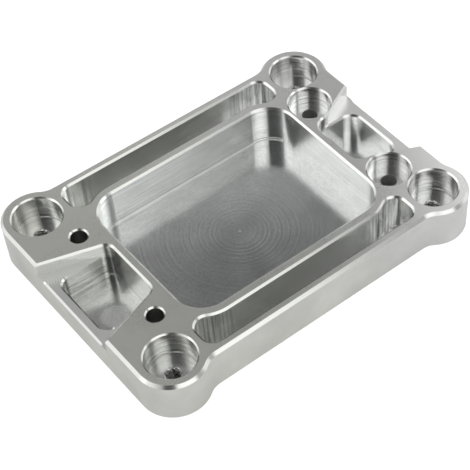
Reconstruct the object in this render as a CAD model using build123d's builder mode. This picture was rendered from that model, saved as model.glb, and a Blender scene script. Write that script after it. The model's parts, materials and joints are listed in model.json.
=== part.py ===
"""Machined mounting block.

A flat aluminium plate with a round lug at each corner. Deep milling lightens it: a wide
central pocket, a relief slot beside each long side, and in the middle of each short end a
flared notch with a pocket sunk in its floor. The four corner holes are counterbored and
tapped. Four inner holes, two of them counterbored, bolt the block to what lies under it.

The origin is the centre of the hole patterns, on the underside. +X runs along the plate,
towards the end with the counterbored inner holes, and +Z is up. Sizes are in millimetres.
"""
from build123d import *
from math import cos, radians, tan
import os

# Plate
thickness = 25.0
far_end_setback = 2.5  # the +X end lies this far inside its lugs, the -X end is flush
outer_chamfer = 1.5  # top and bottom edges of the outline

# Corner lugs, with a tapped hole in the floor of each counterbore
corner_pitch_x = 162.0
corner_pitch_y = 111.5
lug_radius = 18.0
lug_standout = 5.5  # how far a lug stands out past the straight long side
lug_blend_radius = 10.0  # inside curve where a lug runs into a straight side
corner_bore_diameter = 25.0
corner_bore_depth = 14.0
tapping_diameter = 6.8  # core of an M8 thread
thread_diameter = 8.0

# Inner bolt holes, plain at the -X end and counterbored at the +X end
inner_pitch_x = 145.0
inner_pitch_y = 63.5
bolt_hole_diameter = 8.5
inner_bore_diameter = 22.5
inner_bore_depth = 9.0
bore_chamfer = 0.75  # upper rim of every bore and bolt hole
exit_chamfer = 0.5  # the same on the underside

# Central pocket, as wide as the slots beside it leave room for
pocket_length = 118.0
pocket_corner_radius = 15.0
floor_thickness = 3.0  # left under every deep pocket
rim_chamfer = 1.0  # upper rim of every pocket, slot and notch

# Relief slots, which follow the central pocket's corners
slot_cutter_radius = 6.0
slot_finish_pass = 0.5  # how much wider than its cutter a slot is
slot_rib = 5.4  # between the central pocket and a slot
slot_end_wall = 4.7  # between a slot's end and the corner counterbores
rail_thickness = 5.1  # between a slot and the outside

# Notches in the ends, each with a sunken pocket behind a sill
end_rib = 5.0  # between the central pocket and a notch
notch_depth = 8.0
notch_mouth = 59.0  # width of the opening in the end face
near_flare = 17.6  # degrees from a notch wall to the X axis, -X end
far_flare = 25.0  # the same, +X end
near_cutter_radius = 5.0
far_cutter_radius = 7.0
far_pocket_width = 36.0
sill_thickness = 5.5  # between a sunken pocket and its end face
sill_chamfer_length = 46.5
sill_chamfer_runout = 3.5  # radius that the sill's chamfer fades out with at its ends

# Places that follow from the sizes above
top = Plane.XY.offset(thickness)
pocket_depth = thickness - floor_thickness
body_width = corner_pitch_y + 2 * (lug_radius - lug_standout)
near_end_x = -(corner_pitch_x / 2 + lug_radius)
far_end_x = corner_pitch_x / 2 + lug_radius - far_end_setback
notch_inner_x = pocket_length / 2 + end_rib
slot_outer_y = body_width / 2 - rail_thickness
slot_length = corner_pitch_x - corner_bore_diameter - 2 * slot_end_wall
slot_width = 2 * slot_cutter_radius + slot_finish_pass
pocket_width = 2 * (slot_outer_y - slot_width - slot_rib)


def notch_half_width(inset, flare):
    """Half the width of a notch, this far in from its end face."""
    return notch_mouth / 2 - inset * tan(radians(flare))


def rim_cone(diameter, width, align=Align.MAX):
    """Chamfer the mouth of a bore: its upper rim, or with Align.MIN its rim underneath."""
    widths = (0, width) if align == Align.MAX else (width, 0)
    lower, upper = (diameter / 2 + extra for extra in widths)
    Cone(lower, upper, width, align=(Align.CENTER, Align.CENTER, align), mode=Mode.SUBTRACT)


# The sunken pocket at the -X end is as wide as lets it share the notch's inner corners
near_corner_inset = -near_end_x - notch_inner_x - near_cutter_radius
near_pocket_width = 2 * (
    notch_half_width(near_corner_inset, near_flare)
    - near_cutter_radius / cos(radians(near_flare))
    + near_cutter_radius
)

# How far in from the end faces the sunken pockets' rims are chamfered: at the -X end round
# the outer corners only, at the +X end as far as the floor beside the pocket is wide enough
near_rim_reach = sill_thickness + near_cutter_radius
far_floor_beside = (notch_mouth - far_pocket_width) / 2
far_rim_reach = (far_floor_beside - rim_chamfer / cos(radians(far_flare))) / tan(radians(far_flare))

with BuildPart() as mounting_block:
    # Outline: the plate and its lugs, blended into the straight sides
    with BuildSketch() as outline:
        Rectangle(corner_pitch_x, body_width)
        with Locations(((near_end_x + far_end_x) / 2, 0)):
            Rectangle(far_end_x - near_end_x, corner_pitch_y)
        with GridLocations(corner_pitch_x, corner_pitch_y, 2, 2):
            Circle(lug_radius)
        inside_corners = outline.vertices().filter_by(lambda corner: corner.X > near_end_x + 0.01)
        fillet(inside_corners, lug_blend_radius)
    extrude(amount=thickness)
    chamfer(mounting_block.faces().filter_by(Axis.Z).edges(), outer_chamfer)
    outline_rim = mounting_block.faces().sort_by(Axis.Z)[-1].edges()

    # Central pocket
    with BuildSketch(top):
        RectangleRounded(pocket_length, pocket_width, pocket_corner_radius)
    extrude(amount=-pocket_depth, mode=Mode.SUBTRACT)

    # Relief slots: the band between each rail and the pocket's rib, as far as the cutter fits
    with BuildSketch(top):
        Rectangle(slot_length, 2 * slot_outer_y)
        Rectangle(slot_length, pocket_width - 2 * pocket_corner_radius, mode=Mode.SUBTRACT)
        RectangleRounded(
            pocket_length + 2 * slot_rib,
            pocket_width + 2 * slot_rib,
            pocket_corner_radius + slot_rib,
            mode=Mode.SUBTRACT,
        )
        offset(amount=-slot_cutter_radius, mode=Mode.REPLACE)
        offset(amount=slot_cutter_radius, mode=Mode.REPLACE)
    extrude(amount=-pocket_depth, mode=Mode.SUBTRACT)

    # End notches and their sunken pockets, drawn from the end face with local X inwards
    notch_floors = {}
    for end_x, flare, cutter_radius, sunken_width, rim_reach in (
        (near_end_x, near_flare, near_cutter_radius, near_pocket_width, near_rim_reach),
        (far_end_x, far_flare, far_cutter_radius, far_pocket_width, far_rim_reach),
    ):
        inwards = (1, 0, 0) if end_x < 0 else (-1, 0, 0)
        end_plane = Plane((end_x, 0, thickness), x_dir=inwards, z_dir=(0, 0, 1))
        length = abs(end_x) - notch_inner_x
        mouth = notch_half_width(-outer_chamfer, flare)
        inner = notch_half_width(length, flare)
        with BuildSketch(end_plane) as recess:
            with BuildLine():
                Polyline(
                    (-outer_chamfer, mouth),
                    (length, inner),
                    (length, -inner),
                    (-outer_chamfer, -mouth),
                    close=True,
                )
            make_face()
            fillet(recess.vertices().group_by(Axis.X)[-1], cutter_radius)
        extrude(amount=-notch_depth, mode=Mode.SUBTRACT)
        with BuildSketch(end_plane):
            with Locations(((sill_thickness + length) / 2, 0)):
                RectangleRounded(length - sill_thickness, sunken_width, cutter_radius)
        extrude(amount=-pocket_depth, mode=Mode.SUBTRACT)
        floor_plane = end_plane.offset(-notch_depth)
        notch_floors[floor_plane] = (length, cutter_radius, sunken_width, rim_reach)

    # Chamfer every rim in the top face apart from the outline, which has its own
    upper_face = mounting_block.faces().sort_by(Axis.Z)[-1]
    rims = upper_face.edges().filter_by(
        lambda edge: min(rim.distance_to(edge @ 0.5) for rim in outline_rim) > rim_chamfer / 2
    )
    chamfer(rims, rim_chamfer)

    for floor_plane, (length, cutter_radius, sunken_width, rim_reach) in notch_floors.items():
        # The sunken pocket's rim
        with BuildSketch(floor_plane):
            with Locations(((sill_thickness + length) / 2, 0)):
                RectangleRounded(
                    length - sill_thickness + 2 * rim_chamfer,
                    sunken_width + 2 * rim_chamfer,
                    cutter_radius + rim_chamfer,
                )
            Rectangle(
                rim_reach,
                notch_mouth,
                align=(Align.MIN, Align.CENTER),
                mode=Mode.INTERSECT,
            )
        extrude(amount=-rim_chamfer, taper=45, mode=Mode.SUBTRACT)
        # The outer edge of the sill, faded out by the cutter's own radius
        with BuildSketch(floor_plane):
            with Locations((rim_chamfer - sill_chamfer_runout, 0)):
                SlotCenterToCenter(sill_chamfer_length, 2 * sill_chamfer_runout, rotation=90)
        extrude(amount=-rim_chamfer, taper=45, mode=Mode.SUBTRACT)

    # Corner counterbores, tapped right through
    with Locations((0, 0, thickness)):
        with GridLocations(corner_pitch_x, corner_pitch_y, 2, 2):
            Hole(corner_bore_diameter / 2, corner_bore_depth)
            rim_cone(corner_bore_diameter, bore_chamfer)
    with Locations((0, 0, thickness - corner_bore_depth)):
        with GridLocations(corner_pitch_x, corner_pitch_y, 2, 2):
            Hole(tapping_diameter / 2)
            rim_cone(tapping_diameter, (thread_diameter - tapping_diameter) / 2)

    # Inner bolt holes, with counterbores at the +X end
    with Locations((0, 0, thickness)):
        with GridLocations(inner_pitch_x, inner_pitch_y, 2, 2):
            Hole(bolt_hole_diameter / 2)
        with Locations((-inner_pitch_x / 2, 0)):
            with GridLocations(inner_pitch_x, inner_pitch_y, 1, 2):
                rim_cone(bolt_hole_diameter, bore_chamfer)
        with Locations((inner_pitch_x / 2, 0)):
            with GridLocations(inner_pitch_x, inner_pitch_y, 1, 2):
                Hole(inner_bore_diameter / 2, inner_bore_depth)
                rim_cone(inner_bore_diameter, bore_chamfer)

    # Underside: break the rims where the holes come out
    with GridLocations(inner_pitch_x, inner_pitch_y, 2, 2):
        rim_cone(bolt_hole_diameter, exit_chamfer, Align.MIN)
    with GridLocations(corner_pitch_x, corner_pitch_y, 2, 2):
        rim_cone(tapping_diameter, (thread_diameter - tapping_diameter) / 2, Align.MIN)

mounting_block.part.label = "mounting_block"
os.makedirs("parts", exist_ok=True)
export_step(mounting_block.part, "parts/mounting_block.step")
print(f"{len(mounting_block.faces())} faces, {mounting_block.part.volume / 1000:.1f} cm3")
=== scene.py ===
# %% [markdown]
# # A machined mounting block
# The block is one piece of bare aluminium, milled from flat plate. Its shape comes from the
# CAD frame and is left alone. What is added here is what a drawing can't show: the marks
# that each cutter left, the threads, and the studio that the bare metal mirrors.
#
# Blender starts with a cube, a lamp and a camera. They could be reused, but a scene that
# builds all it needs gives the same result wherever it runs, so they go first.

# %% Load the frame
import json
import math

import bpy
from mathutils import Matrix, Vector

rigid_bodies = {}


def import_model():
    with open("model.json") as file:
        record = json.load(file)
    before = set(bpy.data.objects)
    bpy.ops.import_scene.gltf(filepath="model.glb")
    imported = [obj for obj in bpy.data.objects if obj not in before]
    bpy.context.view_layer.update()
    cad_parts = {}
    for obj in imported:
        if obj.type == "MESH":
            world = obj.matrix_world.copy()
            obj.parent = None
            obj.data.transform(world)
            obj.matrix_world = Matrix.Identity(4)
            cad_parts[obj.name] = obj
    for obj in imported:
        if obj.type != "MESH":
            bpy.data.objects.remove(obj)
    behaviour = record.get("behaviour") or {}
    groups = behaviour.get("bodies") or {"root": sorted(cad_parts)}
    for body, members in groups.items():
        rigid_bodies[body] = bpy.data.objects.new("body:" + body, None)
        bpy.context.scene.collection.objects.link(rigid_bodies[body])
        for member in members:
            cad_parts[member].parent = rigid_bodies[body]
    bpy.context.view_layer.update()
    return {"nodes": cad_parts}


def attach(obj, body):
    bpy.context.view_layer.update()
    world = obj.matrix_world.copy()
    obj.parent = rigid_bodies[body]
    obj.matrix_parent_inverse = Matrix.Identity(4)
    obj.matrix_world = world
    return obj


for leftover in list(bpy.data.objects):
    bpy.data.objects.remove(leftover, do_unlink=True)

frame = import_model()
block = frame["nodes"]["mounting_block"]

# %% [markdown]
# ## The camera
# A long lens from above a corner shows the plate almost as a drawing would: edges that are
# parallel nearly stay so. The camera could be turned to put the block in the middle of the
# frame, but turning it also changes how the edges converge. Shifting the lens moves the
# frame alone, as cropping does, and leaves the perspective as it was.

# %% Camera
camera = bpy.data.objects.new("camera", bpy.data.cameras.new("camera"))
bpy.context.collection.objects.link(camera)
camera.location = (-0.2609, -0.3907, 0.5289)
camera.rotation_euler = (0.66455, -0.00361, -0.70672)
camera.data.lens = 105.67
camera.data.sensor_width = 36.0
camera.data.shift_x = -0.2495
camera.data.shift_y = 0.1719
bpy.context.scene.camera = camera
bpy.context.scene.view_settings.view_transform = "Standard"
print("camera", round(camera.location.length, 3), "m from the origin")

# %% [markdown]
# ## Wiring helpers
# Every finish below is a small graph of shader nodes. They could be placed one by one, as
# they are by hand, but then the sum being worked out is lost among the links. Helpers that
# read like arithmetic keep the sum in sight. The first ones add a node and feed its sockets,
# with a number or with another node's result.


# %% Adding and linking nodes
class Wiring:
    """Adds nodes to one tree, and links them as they are named."""

    def __init__(self, tree):
        self.tree = tree

    def feed(self, socket, value):
        if isinstance(value, bpy.types.NodeSocket):
            self.tree.links.new(value, socket)
        elif value is not None:
            socket.default_value = value

    def node(self, kind, inputs=None, **settings):
        made = self.tree.nodes.new(kind)
        for name, value in settings.items():
            setattr(made, name, value)
        for name, value in (inputs or {}).items():
            self.feed(made.inputs[name], value)
        return made

    def split(self, vector):
        return self.node("ShaderNodeSeparateXYZ", {"Vector": vector}).outputs

    def join(self, x=0.0, y=0.0, z=0.0):
        return self.node("ShaderNodeCombineXYZ", {"X": x, "Y": y, "Z": z}).outputs[0]


print("wiring ready")

# %% [markdown]
# A Math node does one step of a sum, so a sum of ten terms takes nine of them. The helpers
# below chain them for any number of terms.


# %% Sums
class Sums(Wiring):
    """Arithmetic with any number of terms."""

    def math(self, operation, a, b=None):
        made = self.node("ShaderNodeMath", operation=operation)
        self.feed(made.inputs[0], a)
        self.feed(made.inputs[1], b)
        return made.outputs[0]

    def add(self, *terms):
        total = terms[0]
        for term in terms[1:]:
            total = self.math("ADD", total, term)
        return total

    def times(self, *terms):
        product = terms[0]
        for term in terms[1:]:
            product = self.math("MULTIPLY", product, term)
        return product

    def minus(self, value, *taken):
        for amount in taken:
            value = self.math("SUBTRACT", value, amount)
        return value

    def vector(self, operation, inputs, output=0):
        return self.node("ShaderNodeVectorMath", inputs, operation=operation).outputs[output]

    def length(self, x, y):
        return self.vector("LENGTH", {0: self.join(x, y)}, "Value")


print("sums ready")

# %% [markdown]
# A mask is a number that is 1 where a finish belongs and 0 where it doesn't. It could be
# painted, but on a machined part every edge is at a known size, and a mask worked out from
# sizes is sharp at any distance. Masks are multiplied to say "and", and taken away to say
# "but not".


# %% Masks and noise
class Graph(Sums):
    """Masks by place, and the noise that keeps a finish from being too even."""

    def outside_of(self, mask):
        return self.minus(1.0, mask)

    def either(self, a, b):
        return self.math("MAXIMUM", a, b)

    def step(self, value, low, high):
        """Rise smoothly from 0 at low to 1 at high, or fall if low is the larger."""
        sockets = {"Value": value, "From Min": low, "From Max": high}
        made = self.node("ShaderNodeMapRange", sockets, interpolation_type="SMOOTHSTEP")
        return made.outputs[0]

    def below(self, value, limit, blend):
        """0 above the limit, and 1 once the value is under it by the width of the blend."""
        return self.step(value, limit, limit - blend)

    def above(self, value, limit, blend):
        """0 under the limit, and 1 once the value is over it by the width of the blend."""
        return self.step(value, limit, limit + blend)

    def mix(self, factor, a, b):
        made = self.node("ShaderNodeMix", {"Factor": factor})
        self.feed(made.inputs["A"], a)
        self.feed(made.inputs["B"], b)
        return made.outputs[0]

    def noise(self, place, scale, detail):
        sockets = {"Vector": place, "Scale": scale, "Detail": detail}
        return self.node("ShaderNodeTexNoise", sockets).outputs[0]

    def stripes(self, along, scale, detail):
        sockets = {"W": along, "Scale": scale, "Detail": detail}
        return self.node("ShaderNodeTexNoise", sockets, noise_dimensions="1D").outputs[0]

    def use(self, group, **inputs):
        return self.node("ShaderNodeGroup", inputs, node_tree=group).outputs[0]


print("masks ready")

# %% [markdown]
# A material and the world each own a tree, and a group is a tree that others place as one
# node. The group could hold fixed numbers, but named inputs let each finish give it its own.


# %% Helpers for whole trees
def new_graph(owner):
    """Clear the shader tree of a material or world and wrap it."""
    owner.use_nodes = True
    owner.node_tree.nodes.clear()
    return Graph(owner.node_tree)


def new_height_group(name, inputs):
    """Make a shader node group that gives a height. Inputs are name: (kind, value)."""
    tree = bpy.data.node_groups.new(name, "ShaderNodeTree")
    for label, (kind, value) in inputs.items():
        socket = tree.interface.new_socket(label, in_out="INPUT", socket_type=kind)
        socket.default_value = value
    tree.interface.new_socket("Height", in_out="OUTPUT", socket_type="NodeSocketFloat")
    graph = Graph(tree)
    given = graph.node("NodeGroupInput").outputs
    result = graph.node("NodeGroupOutput").inputs["Height"]
    return tree, graph, given, result


print("tree helpers ready")

# %% [markdown]
# ## Marks that cutters leave
# A tool that turns about a fixed point leaves rings, and one that travels leaves lines
# along its path. Both could be modelled, but they are a few thousandths of a millimetre
# deep, so only the light shows them. Each is a node group that gives a height, which a Bump
# node turns into tilt, and it is used again wherever that kind of cut was made.
#
# Real rings aren't evenly spaced. One-dimensional noise along the radius gives rings that
# differ as they do on metal, and a slow drift in the phase makes their spacing uneven.

# %% Ring marks
NUMBER = "NodeSocketFloat"
ring_marks, g, given, result = new_height_group(
    "ring_marks", {"X": (NUMBER, 0.0), "Y": (NUMBER, 0.0), "Spacing": (NUMBER, 2.0)}
)
turns = g.math("DIVIDE", g.length(given["X"], given["Y"]), given["Spacing"])
drift = g.stripes(turns, 0.45, 1.0)
saw = g.math("FRACT", g.add(turns, g.times(drift, 0.6)))
groove = g.times(g.step(saw, 0.0, 0.7), g.step(saw, 1.0, 0.85))
fine_rings = g.stripes(turns, 2.5, 3.0)
g.feed(result, g.add(g.times(groove, 0.25), g.times(fine_rings, 0.75)))
print(ring_marks.name, len(ring_marks.nodes), "nodes")

# %% [markdown]
# Lines are noise that is drawn out in one direction. The group could ask for an angle, but
# every straight cut on this block runs level or upright, so three stretch factors say more:
# a small factor makes the noise long that way, and a large one makes it fine.

# %% Line marks
VECTOR = "NodeSocketVector"
line_marks, g, given, result = new_height_group(
    "line_marks", {"Place": (VECTOR, (0.0, 0.0, 0.0)), "Stretch": (VECTOR, (1.0, 1.0, 1.0))}
)
stretched = g.vector("MULTIPLY", {0: given["Place"], 1: given["Stretch"]})
g.feed(result, g.noise(stretched, 1.0, 3.0))
print(line_marks.name, len(line_marks.nodes), "nodes")

# %% [markdown]
# ## Bare aluminium
# The whole block is one metal, yet no two of its faces look alike: the top was faced with a
# wide cutter, the pockets with an end mill, the bores with a boring head. It could be cut
# into pieces with a material each. One material that asks where it is, from the place and
# the direction of the surface, keeps the block in one piece, and the finishes meet exactly
# at its edges.
#
# First come the directions. The normal's height says whether a face lies flat, stands
# upright or slopes, as the chamfers do.

# %% Place and direction
MM = 0.001
aluminium = bpy.data.materials.new("machined_aluminium")
g = new_graph(aluminium)
spot = g.node("ShaderNodeTexCoord").outputs
place = g.vector("SCALE", {0: spot["Object"], "Scale": 1.0 / MM})
x, y, z = g.split(place)
facing_x, facing_y, facing_z = g.split(spot["Normal"])
across = g.math("ABSOLUTE", x)
aside = g.math("ABSOLUTE", y)

flat = g.step(facing_z, 0.85, 0.95)
upright = g.step(g.math("ABSOLUTE", facing_z), 0.25, 0.15)
sloped = g.minus(1.0, flat, upright)
print("1 unit in the material is", MM, "m")

# %% [markdown]
# ### Levels
# Flat faces lie at a few heights only: the top, the ledge of the end notches, the floors of
# the bores and the deep floors. A mask could be painted by hand for each. A height and a
# direction pick the same faces, and stay right if an edge moves a little.

# %% Flat faces by height
TOP, LEDGE, INNER_BORE_FLOOR, CORNER_BORE_FLOOR, DEEP_FLOOR = 25.0, 17.0, 16.0, 11.0, 3.0
PLUNGE_CENTRE = (-79.8, -4.6)
from_plunge = (g.minus(x, PLUNGE_CENTRE[0]), g.minus(y, PLUNGE_CENTRE[1]))

top_face = g.times(flat, g.above(z, TOP - 0.4, 0.2))
deep_floor = g.times(flat, g.below(z, DEEP_FLOOR + 1.0, 0.5))
ledge_gap = g.math("ABSOLUTE", g.minus(z, LEDGE))
ledge = g.times(flat, g.below(ledge_gap, 0.36, 0.06))
plunge = g.times(deep_floor, g.below(g.length(*from_plunge), 8.0, 2.5))
print("levels at", TOP, LEDGE, INNER_BORE_FLOOR, CORNER_BORE_FLOOR, DEEP_FLOOR, "mm")

# %% [markdown]
# ### Bores and holes
# Each round cut is known by the distance from its centre. The block is the same on both
# sides of its middle line, so the distance is taken from the absolute place: one mask then
# covers all four corner bores, and another both inner bores at the +X end.

# %% Round cuts by distance
CORNER_HOLE, INNER_HOLE = (81.0, 55.75), (72.5, 31.75)
from_corner_bore = (g.minus(across, CORNER_HOLE[0]), g.minus(aside, CORNER_HOLE[1]))
from_inner_bore = (g.minus(x, INNER_HOLE[0]), g.minus(aside, INNER_HOLE[1]))
corner_distance = g.length(*from_corner_bore)
inner_distance = g.length(*from_inner_bore)

in_corner_bore = g.below(corner_distance, 13.2, 0.4)
in_inner_bore = g.below(inner_distance, 11.9, 0.3)
in_bore = g.either(in_corner_bore, in_inner_bore)
in_hole = g.below(corner_distance, 4.3, 0.2)
drilled = g.times(upright, g.below(inner_distance, 4.7, 0.2))
bore_floor = g.times(flat, in_bore, g.below(z, INNER_BORE_FLOOR + 2.0, 0.5))
bore_wall = g.times(upright, in_bore, g.outside_of(drilled))
print("bores round", CORNER_HOLE, "and", INNER_HOLE)

# %% [markdown]
# ### Pockets, slots and the outside
# The straight cuts are boxes in plan. A box could be one mask with four sides, but the
# block's symmetry makes two enough: how far along, and how far aside.
#
# A slot's ends are picked out from its long middle, because the cutter turns there and
# leaves upright bands. Two opposite corners of the central pocket, and of the one sunk at
# -X, mirror more sharply, and one wall of that sunken pocket is scored.

# %% Straight cuts by place
in_pocket = g.times(g.below(across, 60.0, 0.5), g.below(aside, 46.0, 0.5))
in_sunk = g.times(g.below(x, -62.5, 1.0), g.below(aside, 22.0, 1.0), g.below(z, LEDGE, 1.0))
scored = g.times(upright, in_sunk, g.below(facing_y, -0.85, 0.1))
two_corners = g.step(g.times(facing_x, facing_y), 0.2, 0.4)
corner = g.times(upright, g.either(in_pocket, in_sunk), two_corners)

slot_width = (g.above(aside, 46.0, 1.0), g.below(aside, 64.0, 0.5))
slot_end = g.times(g.step(across, 35.0, 55.0), *slot_width)
outside = g.either(g.above(across, 94.0, 1.0), g.above(aside, 66.5, 0.5))
in_notch = g.times(g.below(aside, 31.0, 0.5), g.above(z, 16.5, 0.5))
outer_wall = g.times(upright, outside, g.outside_of(in_notch))
plain_wall = g.minus(upright, bore_wall, outer_wall)
inner_wall = g.minus(upright, outer_wall, drilled)
print("finishes placed with", len(aluminium.node_tree.nodes), "nodes")

# %% [markdown]
# ### How sharply each finish mirrors
# A sharp tool and a slow feed leave metal that mirrors like glass, and a worn tool or a
# quick pass leaves it dull. Roughness says which. It could be one number for the block, but
# then a bore would mirror no better than the sawn-looking outside. Each mask below replaces
# the roughness where it is 1, and a little noise keeps any face from being too even.

# %% Roughness of each finish
grain = g.noise(place, 2.2, 3.0)
cloud = g.noise(place, 0.07, 2.0)
roughness = 0.20
finishes = (
    (top_face, 0.28),
    (deep_floor, 0.19),
    (plunge, 0.29),
    (ledge, 0.42),
    (sloped, 0.21),
    (bore_wall, 0.19),
    (drilled, 0.60),
    (bore_floor, 0.17),
    (outer_wall, 0.33),
    (corner, 0.12),
)
for mask, value in finishes:
    roughness = g.mix(mask, roughness, value)
uneven = g.add(0.82, g.times(grain, 0.16), g.times(cloud, 0.20))
roughness = g.times(roughness, uneven)
print(len(finishes), "finishes")

# %% [markdown]
# ### Which marks go where
# Floors carry rings round the point the cutter circled: the middle of the central pocket,
# the plunge point of the sunken one, and the centre of each bore. Walls carry level lines
# from the cutter's flutes, and upright bands where it chattered.
#
# The rings could cover the whole floor, but a cloth or the coolant dulls them unevenly, so
# they are faded out towards +X and +Y.

# %% Rings and lines
floor_rings = g.use(ring_marks, X=x, Y=y, Spacing=2.42)
plunge_rings = g.use(ring_marks, X=from_plunge[0], Y=from_plunge[1], Spacing=1.5)
floor_rings = g.mix(plunge, floor_rings, plunge_rings)
corner_rings = g.use(ring_marks, X=from_corner_bore[0], Y=from_corner_bore[1], Spacing=1.1)
inner_rings = g.use(ring_marks, X=from_inner_bore[0], Y=from_inner_bore[1], Spacing=1.1)
bore_rings = g.mix(in_inner_bore, corner_rings, inner_rings)
unwiped = g.times(in_pocket, g.step(x, 46.0, 20.0), g.step(y, 34.0, 12.0))
unwiped = g.either(unwiped, g.times(plunge, 0.35))

side_lines = g.use(line_marks, Place=place, Stretch=(0.03, 0.03, 2.2))
bore_lines = g.use(line_marks, Place=place, Stretch=(0.03, 0.03, 3.6))
chatter = g.use(line_marks, Place=place, Stretch=(0.7, 0.7, 0.02))
score_lines = g.use(line_marks, Place=place, Stretch=(0.06, 0.06, 1.3))
print(len(aluminium.node_tree.nodes), "nodes so far")

# %% [markdown]
# ### Depth of each mark
# Most of these marks are a few thousandths of a millimetre deep. The bands at a slot's ends
# are deeper, and in the tapped holes the metal is torn. They could be drawn as grey stripes,
# but stripes don't glint as the view turns. Each line below is a mask, a mark and a depth in
# millimetres, and their sum is one height for the whole block.

# %% Heights of the marks
torn = g.noise(place, 1.1, 1.0)
band_depth = g.add(0.0020, g.times(slot_end, 0.014))
height = g.add(
    g.times(deep_floor, unwiped, floor_rings, 0.0006),
    g.times(in_hole, torn, 0.45),
    g.times(bore_floor, bore_rings, 0.0016),
    g.times(bore_wall, bore_lines, 0.0016),
    g.times(bore_wall, chatter, 0.0040),
    g.times(plain_wall, side_lines, 0.0022),
    g.times(plain_wall, chatter, band_depth),
    g.times(outer_wall, chatter, 0.0030),
    g.times(outer_wall, side_lines, 0.0016),
    g.times(top_face, grain, 0.0004),
)
print(len(aluminium.node_tree.nodes), "nodes so far")

# %% [markdown]
# ### Arcs on the notch's floor
# Where the cutter crept along one wall of the notch it left a row of arcs, each the front
# edge of the cutter at one step of its feed. They could be cut as real grooves, but they are
# shallower than a hair. The distance travelled, less the cutter's own curve, is the same all
# along such an arc, so its fraction of the feed draws them.

# %% Feed arcs
FLARE = math.radians(17.6)
NOTCH_MOUTH = (-99.0, 29.5)
WALL_TO_PATH, ARC_RADIUS, FEED_STEP = 5.0, 7.0, 1.35
inwards, beside = g.minus(x, NOTCH_MOUTH[0]), g.minus(y, NOTCH_MOUTH[1])
travelled = g.add(g.times(inwards, math.cos(FLARE)), g.times(beside, -math.sin(FLARE)))
off_path = g.add(g.times(inwards, math.sin(FLARE)), g.times(beside, math.cos(FLARE)))
off_path = g.add(off_path, WALL_TO_PATH)
bulge = g.minus(ARC_RADIUS * ARC_RADIUS, g.times(off_path, off_path))
front = g.math("SQRT", g.either(bulge, 0.0))
fed = g.math("FRACT", g.math("DIVIDE", g.minus(travelled, front), FEED_STEP))
arcs = g.times(g.step(fed, 0.0, 0.8), g.step(fed, 1.0, 0.85))
crept = g.times(ledge, g.step(off_path, -4.0, -2.0), g.step(x, -64.0, -70.0))
height = g.add(height, g.times(crept, arcs, 0.018))
print("arcs every", FEED_STEP, "mm")

# %% [markdown]
# ### Where a wall meets its floor
# An end mill has a small radius at its tip, so it can't cut a sharp inner corner. What it
# leaves there catches a thin bright line. A fillet in the CAD would be true, but at 0.4 mm
# it costs thousands of faces. The finish tilts the normal upwards over the lowest 0.4 mm of
# the wall instead, and a little downwards just above, where the line has a dark edge.
#
# The line is weaker in some places, and those are masks too: the pocket's wall at the +X
# end, the sunken pockets, the corner bores and the scored wall.

# %% Foot of each wall
foot_height = g.mix(in_inner_bore, DEEP_FLOOR, INNER_BORE_FLOOR)
foot_height = g.mix(in_corner_bore, foot_height, CORNER_BORE_FLOOR)
above_foot = g.minus(z, foot_height)
far_wall = g.times(g.above(x, 57.0, 1.0), g.below(aside, 46.0, 1.0))
in_either_sunk = g.times(g.above(across, 62.0, 1.0), g.below(aside, 22.0, 1.0))
weaker = g.times(g.mix(in_either_sunk, 1.0, 0.3), g.mix(in_corner_bore, 1.0, 0.8))
footed = g.times(inner_wall, g.above(above_foot, -0.3, 0.2), g.outside_of(far_wall))
footed = g.times(footed, weaker, g.outside_of(scored))
foot = g.times(footed, g.below(above_foot, 0.45, 0.1))
undercut = g.times(footed, g.above(above_foot, 0.5, 0.1), g.below(above_foot, 1.3, 0.2))
undercut = g.times(undercut, g.outside_of(in_corner_bore))
print(len(aluminium.node_tree.nodes), "nodes so far")

# %% [markdown]
# ### Grooves too fine to see
# A bored floor smears its reflections across its grooves, as a pan lid does, though no
# single groove can be seen. An anisotropic shader could smear them, but it would need a
# direction for every bore. Here the normal is tilted by noise that is too fine to see:
# straight out from the centre on floors, and up or down on walls.


# %% Tilt of the fine grooves
def from_centre(axis, value):
    """A place along one axis, counted from the centre of the bore that it lies in."""
    value = g.mix(in_corner_bore, value, from_corner_bore[axis])
    return g.mix(in_inner_bore, value, from_inner_bore[axis])


GROOVES_PER_MM = 5.0
bore_x, bore_y = from_centre(0, x), from_centre(1, y)
radius = g.length(bore_x, bore_y)
ring_depth = g.add(g.times(deep_floor, 0.04), g.times(bore_floor, 0.25))
ring_tilt = g.times(g.minus(g.stripes(radius, GROOVES_PER_MM, 1.0), 0.5), ring_depth)
outwards = g.math("DIVIDE", ring_tilt, g.either(radius, 0.5))

line_depth = g.add(g.times(inner_wall, 0.2), g.times(bore_wall, 0.2))
line_tilt = g.times(g.minus(g.stripes(z, GROOVES_PER_MM, 1.0), 0.5), line_depth)
line_tilt = g.add(line_tilt, foot, g.times(undercut, -0.35))
tilt = g.join(g.times(bore_x, outwards), g.times(bore_y, outwards), line_tilt)
print(len(aluminium.node_tree.nodes), "nodes so far")

# %% [markdown]
# ### One normal
# A reflection on metal leaves by one normal, so the heights and the tilts have to meet in
# one. The tilts could be turned into heights too, but a tilt says the slope itself, while a
# Bump node works it out from neighbouring points and loses what is finer than they are. The
# height is in millimetres, so the Bump's distance is the length of one.

# %% Normal of the surface
bump = g.node("ShaderNodeBump", {"Strength": 1.0, "Distance": MM, "Height": height})
tilted = g.vector("ADD", {0: bump.outputs[0], 1: tilt})
normal = g.vector("NORMALIZE", {0: tilted})
print("bump distance", MM, "m")
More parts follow.
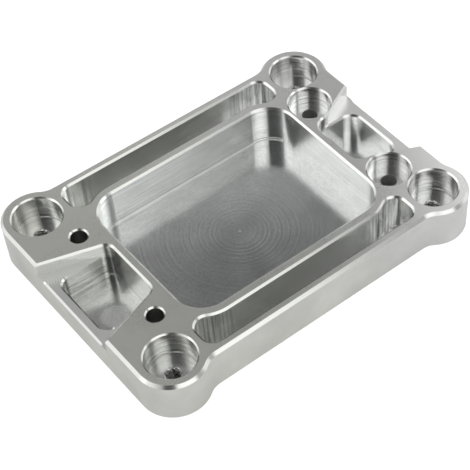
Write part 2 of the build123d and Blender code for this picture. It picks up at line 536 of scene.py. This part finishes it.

# %% [markdown]
# ### Tone and painted shade along the marks
# A groove with smear in it looks darker from every side, and a groove also holds shade. The
# height could be made deeper until it shades itself, but then the reflections break up. So the
# grooves get a small change of tone along the same marks, partly the smear and partly painted
# shade, which keeps both. Each row below is a mark, the middle that it swings about, the mask
# of its finish, and how strongly it shows.

# %% Tones and painted shade along the marks
bold = g.step(g.noise(place, 0.03, 1.0), 0.35, 0.65)
patches = g.noise(place, 0.05, 3.0)
haze = g.noise(place, 0.045, 1.0)
speckle = g.noise(place, 1.6, 2.0)
bands = g.step(chatter, 0.32, 0.62)

METAL_GREY = 0.79
tone = g.add(METAL_GREY, g.times(grain, 0.02), g.times(cloud, 0.02))
marks_with_painted_shade = (
    (floor_rings, 0.5, g.times(deep_floor, unwiped), g.add(0.16, g.times(bold, 0.24))),
    (arcs, 0.3, crept, 0.16),
    (patches, 0.5, outer_wall, 0.28),
    (haze, 0.5, deep_floor, 0.30),
    (speckle, 0.5, deep_floor, 0.60),
    (side_lines, 0.5, plain_wall, 0.45),
    (bore_lines, 0.5, bore_wall, 1.20),
    (bands, 0.6, g.times(plain_wall, slot_end), 0.45),
    (bore_rings, 0.5, bore_floor, 0.25),
)
# The swings along rings, arcs, lines and bands are partly smear and partly painted shade;
# patches, haze and speckle are random tone.
for mark, middle, mask, strength in marks_with_painted_shade:
    tone = g.add(tone, g.times(g.minus(mark, middle), mask, strength))
print(len(marks_with_painted_shade), "marks shaded")

# %% [markdown]
# ### Painted light and shade by place
# Some cuts are painted lighter or darker as a whole: the walls of the bores and slots, the
# scored wall, the pip where the cutter turned on the spot, the torn threads. Lamps could be
# moved until each one is right, but a lamp that mends one wall spoils another. A small amount
# of painted light or painted shade is added in each place instead. The amounts were found by
# trial, for one side of the block, so they aren't a measured finish.

# %% Painted light and shade of single places
near_rim = g.times(in_corner_bore, g.step(z, 12.0, 22.0))
slot_sides = (g.above(aside, 46.0, 1.0), g.below(aside, 64.5, 0.5))
slot_middle = g.minus(1.0, g.times(slot_end, 1.4))
in_slot = g.times(slot_middle, g.below(z, 24.0, 0.5), *slot_sides, g.below(across, 66.0, 1.0))
near_end = g.times(plain_wall, slot_end, g.below(x, -35.0, 10.0), g.below(y, -46.0, 1.0))
pip = g.times(deep_floor, g.below(g.length(x, y), 1.1, 0.5))
scores = g.times(scored, g.step(z, 12.0, 9.0), g.step(score_lines, 0.50, 0.42))

# Painted shade: bore walls darker, most of all low down, the slots, the slot end near -X, a
# touch on the deep floor, the ledge, the drilled holes, the scored wall and darker lines low
# on it, and a painted dark reflection in one corner of the sunken pocket. Painted light: the
# inner walls, the bore floors and the pip.
painted_light_by_place = (
    (inner_wall, 0.07),
    (bore_wall, g.mix(near_rim, -0.20, -0.08)),
    (bore_floor, g.mix(in_inner_bore, 0.07, 0.15)),
    (in_slot, -0.11),
    (near_end, -0.24),
    (deep_floor, -0.01),
    (pip, 0.25),
    (ledge, -0.08),
    (drilled, -0.12),
    (scored, -0.14),
    (scores, -0.30),
    (g.times(corner, in_sunk), -0.25),
)
for mask, amount in painted_light_by_place:
    tone = g.add(tone, g.times(mask, amount))
# The tapped holes get painted glints and painted shade: noise makes their tone patchy, from a
# quarter of the grey to a quarter over it.
painted_glints = g.mix(g.step(g.noise(place, 1.3, 1.0), 0.42, 0.60), 0.25, 1.25)
tone = g.times(tone, g.mix(in_hole, 1.0, painted_glints))
print(len(painted_light_by_place), "places shaded")

# %% [markdown]
# ### A slight tint
# Aluminium is all but grey. The open faces look a little warm and the deep cuts a little
# cool, because each mirrors another part of the room. Coloured lamps could do that, but they
# would tint the paper too. A red and a blue factor close to 1 tint only the metal. They too
# were found by trial.

# %% Tint and shader
sunk_below_top = g.times(g.step(z, 24.5, 24.0), g.add(0.6, g.times(in_pocket, 0.4)))
cool = g.times(sunk_below_top, g.outside_of(g.times(upright, outside)))
along = g.step(x, -20.0, 80.0)
red = g.mix(cool, g.mix(along, 0.994, 1.0), g.mix(deep_floor, 0.990, 0.980))
blue = g.mix(cool, g.mix(along, 0.945, 0.985), 0.988)
channels = {"Red": g.times(tone, red), "Green": tone, "Blue": g.times(tone, blue)}
colour = g.node("ShaderNodeCombineColor", channels).outputs[0]
metal = {"Base Color": colour, "Metallic": 1.0, "Roughness": roughness, "Normal": normal}
surface = g.node("ShaderNodeBsdfPrincipled", metal)
g.node("ShaderNodeOutputMaterial", {"Surface": surface.outputs[0]})
block.material_slots[0].material = aluminium
print("aluminium", len(aluminium.node_tree.nodes), "nodes")

# %% [markdown]
# ## Threads
# The four corner holes are tapped. A thread is one ridge wound round a cylinder, so it could
# be swept along a helix by hand and copied four times. Geometry Nodes does both from a few
# named sizes: a spiral curve is the path, a three-sided profile is the ridge, and the four
# hole centres carry an instance each.
#
# The tree ends by turning the instances into one mesh and giving it the metal.

# %% Thread tree
thread_tree = bpy.data.node_groups.new("tapped_thread", "GeometryNodeTree")
thread_inputs = {"Points per turn": "NodeSocketInt", "Finish": "NodeSocketMaterial"}
for label in ("Pitch X", "Pitch Y", "Bottom", "Length", "Pitch", "Wall radius", "Ridge"):
    thread_inputs[label] = NUMBER
for label, kind in thread_inputs.items():
    thread_tree.interface.new_socket(label, in_out="INPUT", socket_type=kind)
thread_tree.interface.new_socket("Geometry", in_out="OUTPUT", socket_type="NodeSocketGeometry")
g = Graph(thread_tree)
given = g.node("NodeGroupInput").outputs
print("inputs", list(thread_inputs))

# %% [markdown]
# The ridge's curve needs a normal that points upwards all the way. Left alone, Blender picks
# one that slowly rolls along a helix, and the ridge would roll with it.

# %% One ridge
helix = {
    "Resolution": given["Points per turn"],
    "Rotations": g.math("DIVIDE", given["Length"], given["Pitch"]),
    "Start Radius": given["Wall radius"],
    "End Radius": given["Wall radius"],
    "Height": given["Length"],
}
path = g.node("GeometryNodeCurveSpiral", helix).outputs[0]
path = g.node("GeometryNodeSetCurveNormal", {"Curve": path}, mode="Z_UP").outputs[0]
three_sided = {"Resolution": 3, "Radius": given["Ridge"]}
ridge = g.node("GeometryNodeCurvePrimitiveCircle", three_sided).outputs["Curve"]
swept = {"Curve": path, "Profile Curve": ridge, "Fill Caps": True}
thread = g.node("GeometryNodeCurveToMesh", swept).outputs[0]
print("a ridge from", len(thread_tree.nodes), "nodes")

# %% [markdown]
# The hole centres are the corners of a rectangle. Four points could be typed in, but a grid
# of two by two is those corners, and it follows the pitch of the holes.

# %% A ridge in each hole
rectangle = {"Size X": given["Pitch X"], "Size Y": given["Pitch Y"]}
rectangle.update({"Vertices X": 2, "Vertices Y": 2})
centres = g.node("GeometryNodeMeshGrid", rectangle).outputs["Mesh"]
lift = {"Geometry": centres, "Translation": g.join(z=given["Bottom"])}
centres = g.node("GeometryNodeTransform", lift).outputs[0]
on_centres = {"Points": centres, "Instance": thread}
copies = g.node("GeometryNodeInstanceOnPoints", on_centres).outputs[0]
real = g.node("GeometryNodeRealizeInstances", {"Geometry": copies}).outputs[0]
finished = {"Geometry": real, "Material": given["Finish"]}
finished = g.node("GeometryNodeSetMaterial", finished).outputs[0]
g.node("NodeGroupOutput", {"Geometry": finished})
print("threads from", len(thread_tree.nodes), "nodes")

# %% [markdown]
# An empty mesh carries the tree as a modifier, and the sizes of an M8 thread go in here. The
# modifier could stay, but a plain mesh behaves the same in every other program, so the
# result is copied out and the carrier removed. Set Material adds its slot after an empty one,
# so the list of slots is made anew.

# %% Wind the threads
thread_sizes = {
    "Pitch X": 162.0 * MM,
    "Pitch Y": 111.5 * MM,
    "Bottom": 0.8 * MM,
    "Length": 9.3 * MM,
    "Pitch": 1.25 * MM,
    "Wall radius": 3.42 * MM,
    "Ridge": 0.36 * MM,
    "Points per turn": 40,
    "Finish": aluminium,
}
carrier = bpy.data.objects.new("thread_carrier", bpy.data.meshes.new("thread_carrier"))
bpy.context.collection.objects.link(carrier)
winding = carrier.modifiers.new("winding", "NODES")
winding.node_group = thread_tree
for item in thread_tree.interface.items_tree:
    if item.in_out == "INPUT":
        winding[item.identifier] = thread_sizes[item.name]
evaluated = carrier.evaluated_get(bpy.context.evaluated_depsgraph_get())
thread_mesh = bpy.data.meshes.new_from_object(evaluated)
bpy.data.objects.remove(carrier, do_unlink=True)
thread_mesh.materials.clear()
thread_mesh.materials.append(aluminium)
print("threads", len(thread_mesh.polygons), "faces")

# %% [markdown]
# Real threads are cut in the block and can't come loose. They could be joined into its mesh,
# but the mesh that comes from the CAD is never changed. They are a piece of their own
# instead, which rides on the block's body and takes its finish.

# %% Threads on the block
threads = bpy.data.objects.new("tapped_threads", thread_mesh)
bpy.context.collection.objects.link(threads)
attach(threads, "root")
heights = [point.co.z / MM for point in thread_mesh.vertices]
print("threads reach from", round(min(heights), 2), "to", round(max(heights), 2), "mm")

# %% [markdown]
# ## The studio
# The block stands on white paper. Paper that is lit alone comes out grey, and more light
# would burn out the metal, so the paper also glows a little for the camera and in
# reflections. It doesn't glow under the block, and it is painted darker there as a painted
# shadow, or the through holes would look lit.

# %% Paper floor
HALF_SHEET = 4.0
sheet_corners = [(-1, -1), (1, -1), (1, 1), (-1, 1)]
sheet_points = [(sx * HALF_SHEET, sy * HALF_SHEET, 0) for sx, sy in sheet_corners]
floor_mesh = bpy.data.meshes.new("floor")
floor_mesh.from_pydata(sheet_points, [], [(0, 1, 2, 3)])
floor = bpy.data.objects.new("floor", floor_mesh)
bpy.context.collection.objects.link(floor)
print("paper", 2 * HALF_SHEET, "m wide")

# %% [markdown]
# Studio paper is matt, so a Diffuse shader is enough for the sheet, whose colour is painted
# darker under the block as a shadow. The glow is an Emission shader added to it. It could be
# one strength for all, but then it would light the scene like a lamp. The Light Path node
# tells what
# kind of ray asks: the camera sees most of the glow, a reflection a little, and every other
# ray none.

# %% White paper
CAMERA_GLOW, MIRRORED_GLOW = 0.72, 0.10
paper = bpy.data.materials.new("white_paper")
g = new_graph(paper)
paper_x, paper_y, _ = g.split(g.node("ShaderNodeTexCoord").outputs["Object"])
past_end = g.above(g.math("ABSOLUTE", paper_x), 91.0 * MM, 5.0 * MM)
past_side = g.above(g.math("ABSOLUTE", paper_y), 62.0 * MM, 5.0 * MM)
clear = g.either(past_end, past_side)
ray = g.node("ShaderNodeLightPath").outputs
mirrored = g.either(ray["Is Glossy Ray"], ray["Is Transmission Ray"])
seen = g.add(g.times(ray["Is Camera Ray"], CAMERA_GLOW), g.times(mirrored, MIRRORED_GLOW))
glow = g.node("ShaderNodeEmission", {"Strength": g.times(seen, clear)})
# Painted shadow: the sheet's grey drops from 0.8 out in the open to 0.25 under the block.
paper_grey = g.mix(clear, 0.25, 0.8)
sheet_colour = g.node("ShaderNodeCombineColor", {"Red": paper_grey, "Green": paper_grey, "Blue": paper_grey})
sheet = g.node("ShaderNodeBsdfDiffuse", {"Color": sheet_colour.outputs[0]})
lit = g.node("ShaderNodeAddShader", {0: glow.outputs[0], 1: sheet.outputs[0]})
g.node("ShaderNodeOutputMaterial", {"Surface": lit.outputs[0]})
paper.cycles.emission_sampling = "NONE"
floor.data.materials.append(paper)
print("paper", len(paper.node_tree.nodes), "nodes")

# %% [markdown]
# ### The room
# Polished metal shows the room rather than itself. A bare wall all round would make it look
# like putty: what gives it life are the dark things between the lights, the camera and the
# person behind it, the gaps between softboxes. They could be black cards in the scene. In the
# world shader each is one direction and two angles, and nothing can cast a shadow.
#
# The room is brighter overhead and near the horizon, where the paper sweeps up.

# %% World
camera_gap = Vector((-0.58, -0.42, 0.70)).normalized()
lamp_gap = Vector((0.36, 0.53, 0.77)).normalized()
side_gap = Vector((0.55, -0.46, 0.70)).normalized()
# Towards, outer and inner angle in degrees, share of the light that is lost
gaps = ((camera_gap, 32, 14, 0.84), (lamp_gap, 11, 2, 0.84), (side_gap, 16, 6, 0.75))
world = bpy.data.worlds.new("studio")
bpy.context.scene.world = world
g = new_graph(world)
direction = g.node("ShaderNodeTexCoord").outputs["Generated"]
upwards = g.split(direction)[2]
level = g.add(0.43, g.times(g.step(upwards, 0.77, 0.83), 0.25))
for gap, outer, inner, loss in gaps:
    lined_up = g.vector("DOT_PRODUCT", {0: direction, 1: gap}, "Value")
    edges = math.cos(math.radians(outer)), math.cos(math.radians(inner))
    unlit = g.step(lined_up, *edges)
    level = g.times(level, g.outside_of(g.times(unlit, loss)))
level = g.add(level, g.times(g.step(upwards, 0.38, 0.27), 0.80))
back = g.node("ShaderNodeBackground", {"Strength": level})
g.node("ShaderNodeOutputWorld", {"Surface": back.outputs[0]})
print("world with", len(gaps), "dark gaps")

# %% [markdown]
# ### The lamps
# A product like this is lit by softboxes, wide sheets of light whose mirror images are the
# bright bands in the bores. Point lamps would leave only sparks. Each lamp is placed by the
# direction it shines from and its distance, because that is what a reflection shows, and it
# is turned to face the block.


# %% Lamps
def softbox(name, azimuth, elevation, distance, width, height, power):
    lamp = bpy.data.lights.new(name, "AREA")
    lamp.shape = "RECTANGLE"
    lamp.size, lamp.size_y, lamp.energy = width, height, power
    made = bpy.data.objects.new(name, lamp)
    bpy.context.collection.objects.link(made)
    a, e = math.radians(azimuth), math.radians(elevation)
    towards = Vector((math.cos(a) * math.cos(e), math.sin(a) * math.cos(e), math.sin(e)))
    made.location = towards * distance
    made.rotation_euler = towards.to_track_quat("Z", "Y").to_euler()
    print(name, power, "W")


softbox("left_back", 140, 35, 1.5, 1.36, 0.85, 3.6)
softbox("front", 270, 29, 1.5, 1.30, 1.22, 4.5)
softbox("right", -5, 39, 0.8, 1.00, 0.34, 1.6)
softbox("left", 185, 27, 1.5, 1.25, 0.48, 1.1)
softbox("back", 61, 40, 1.5, 0.42, 0.34, 0.17)
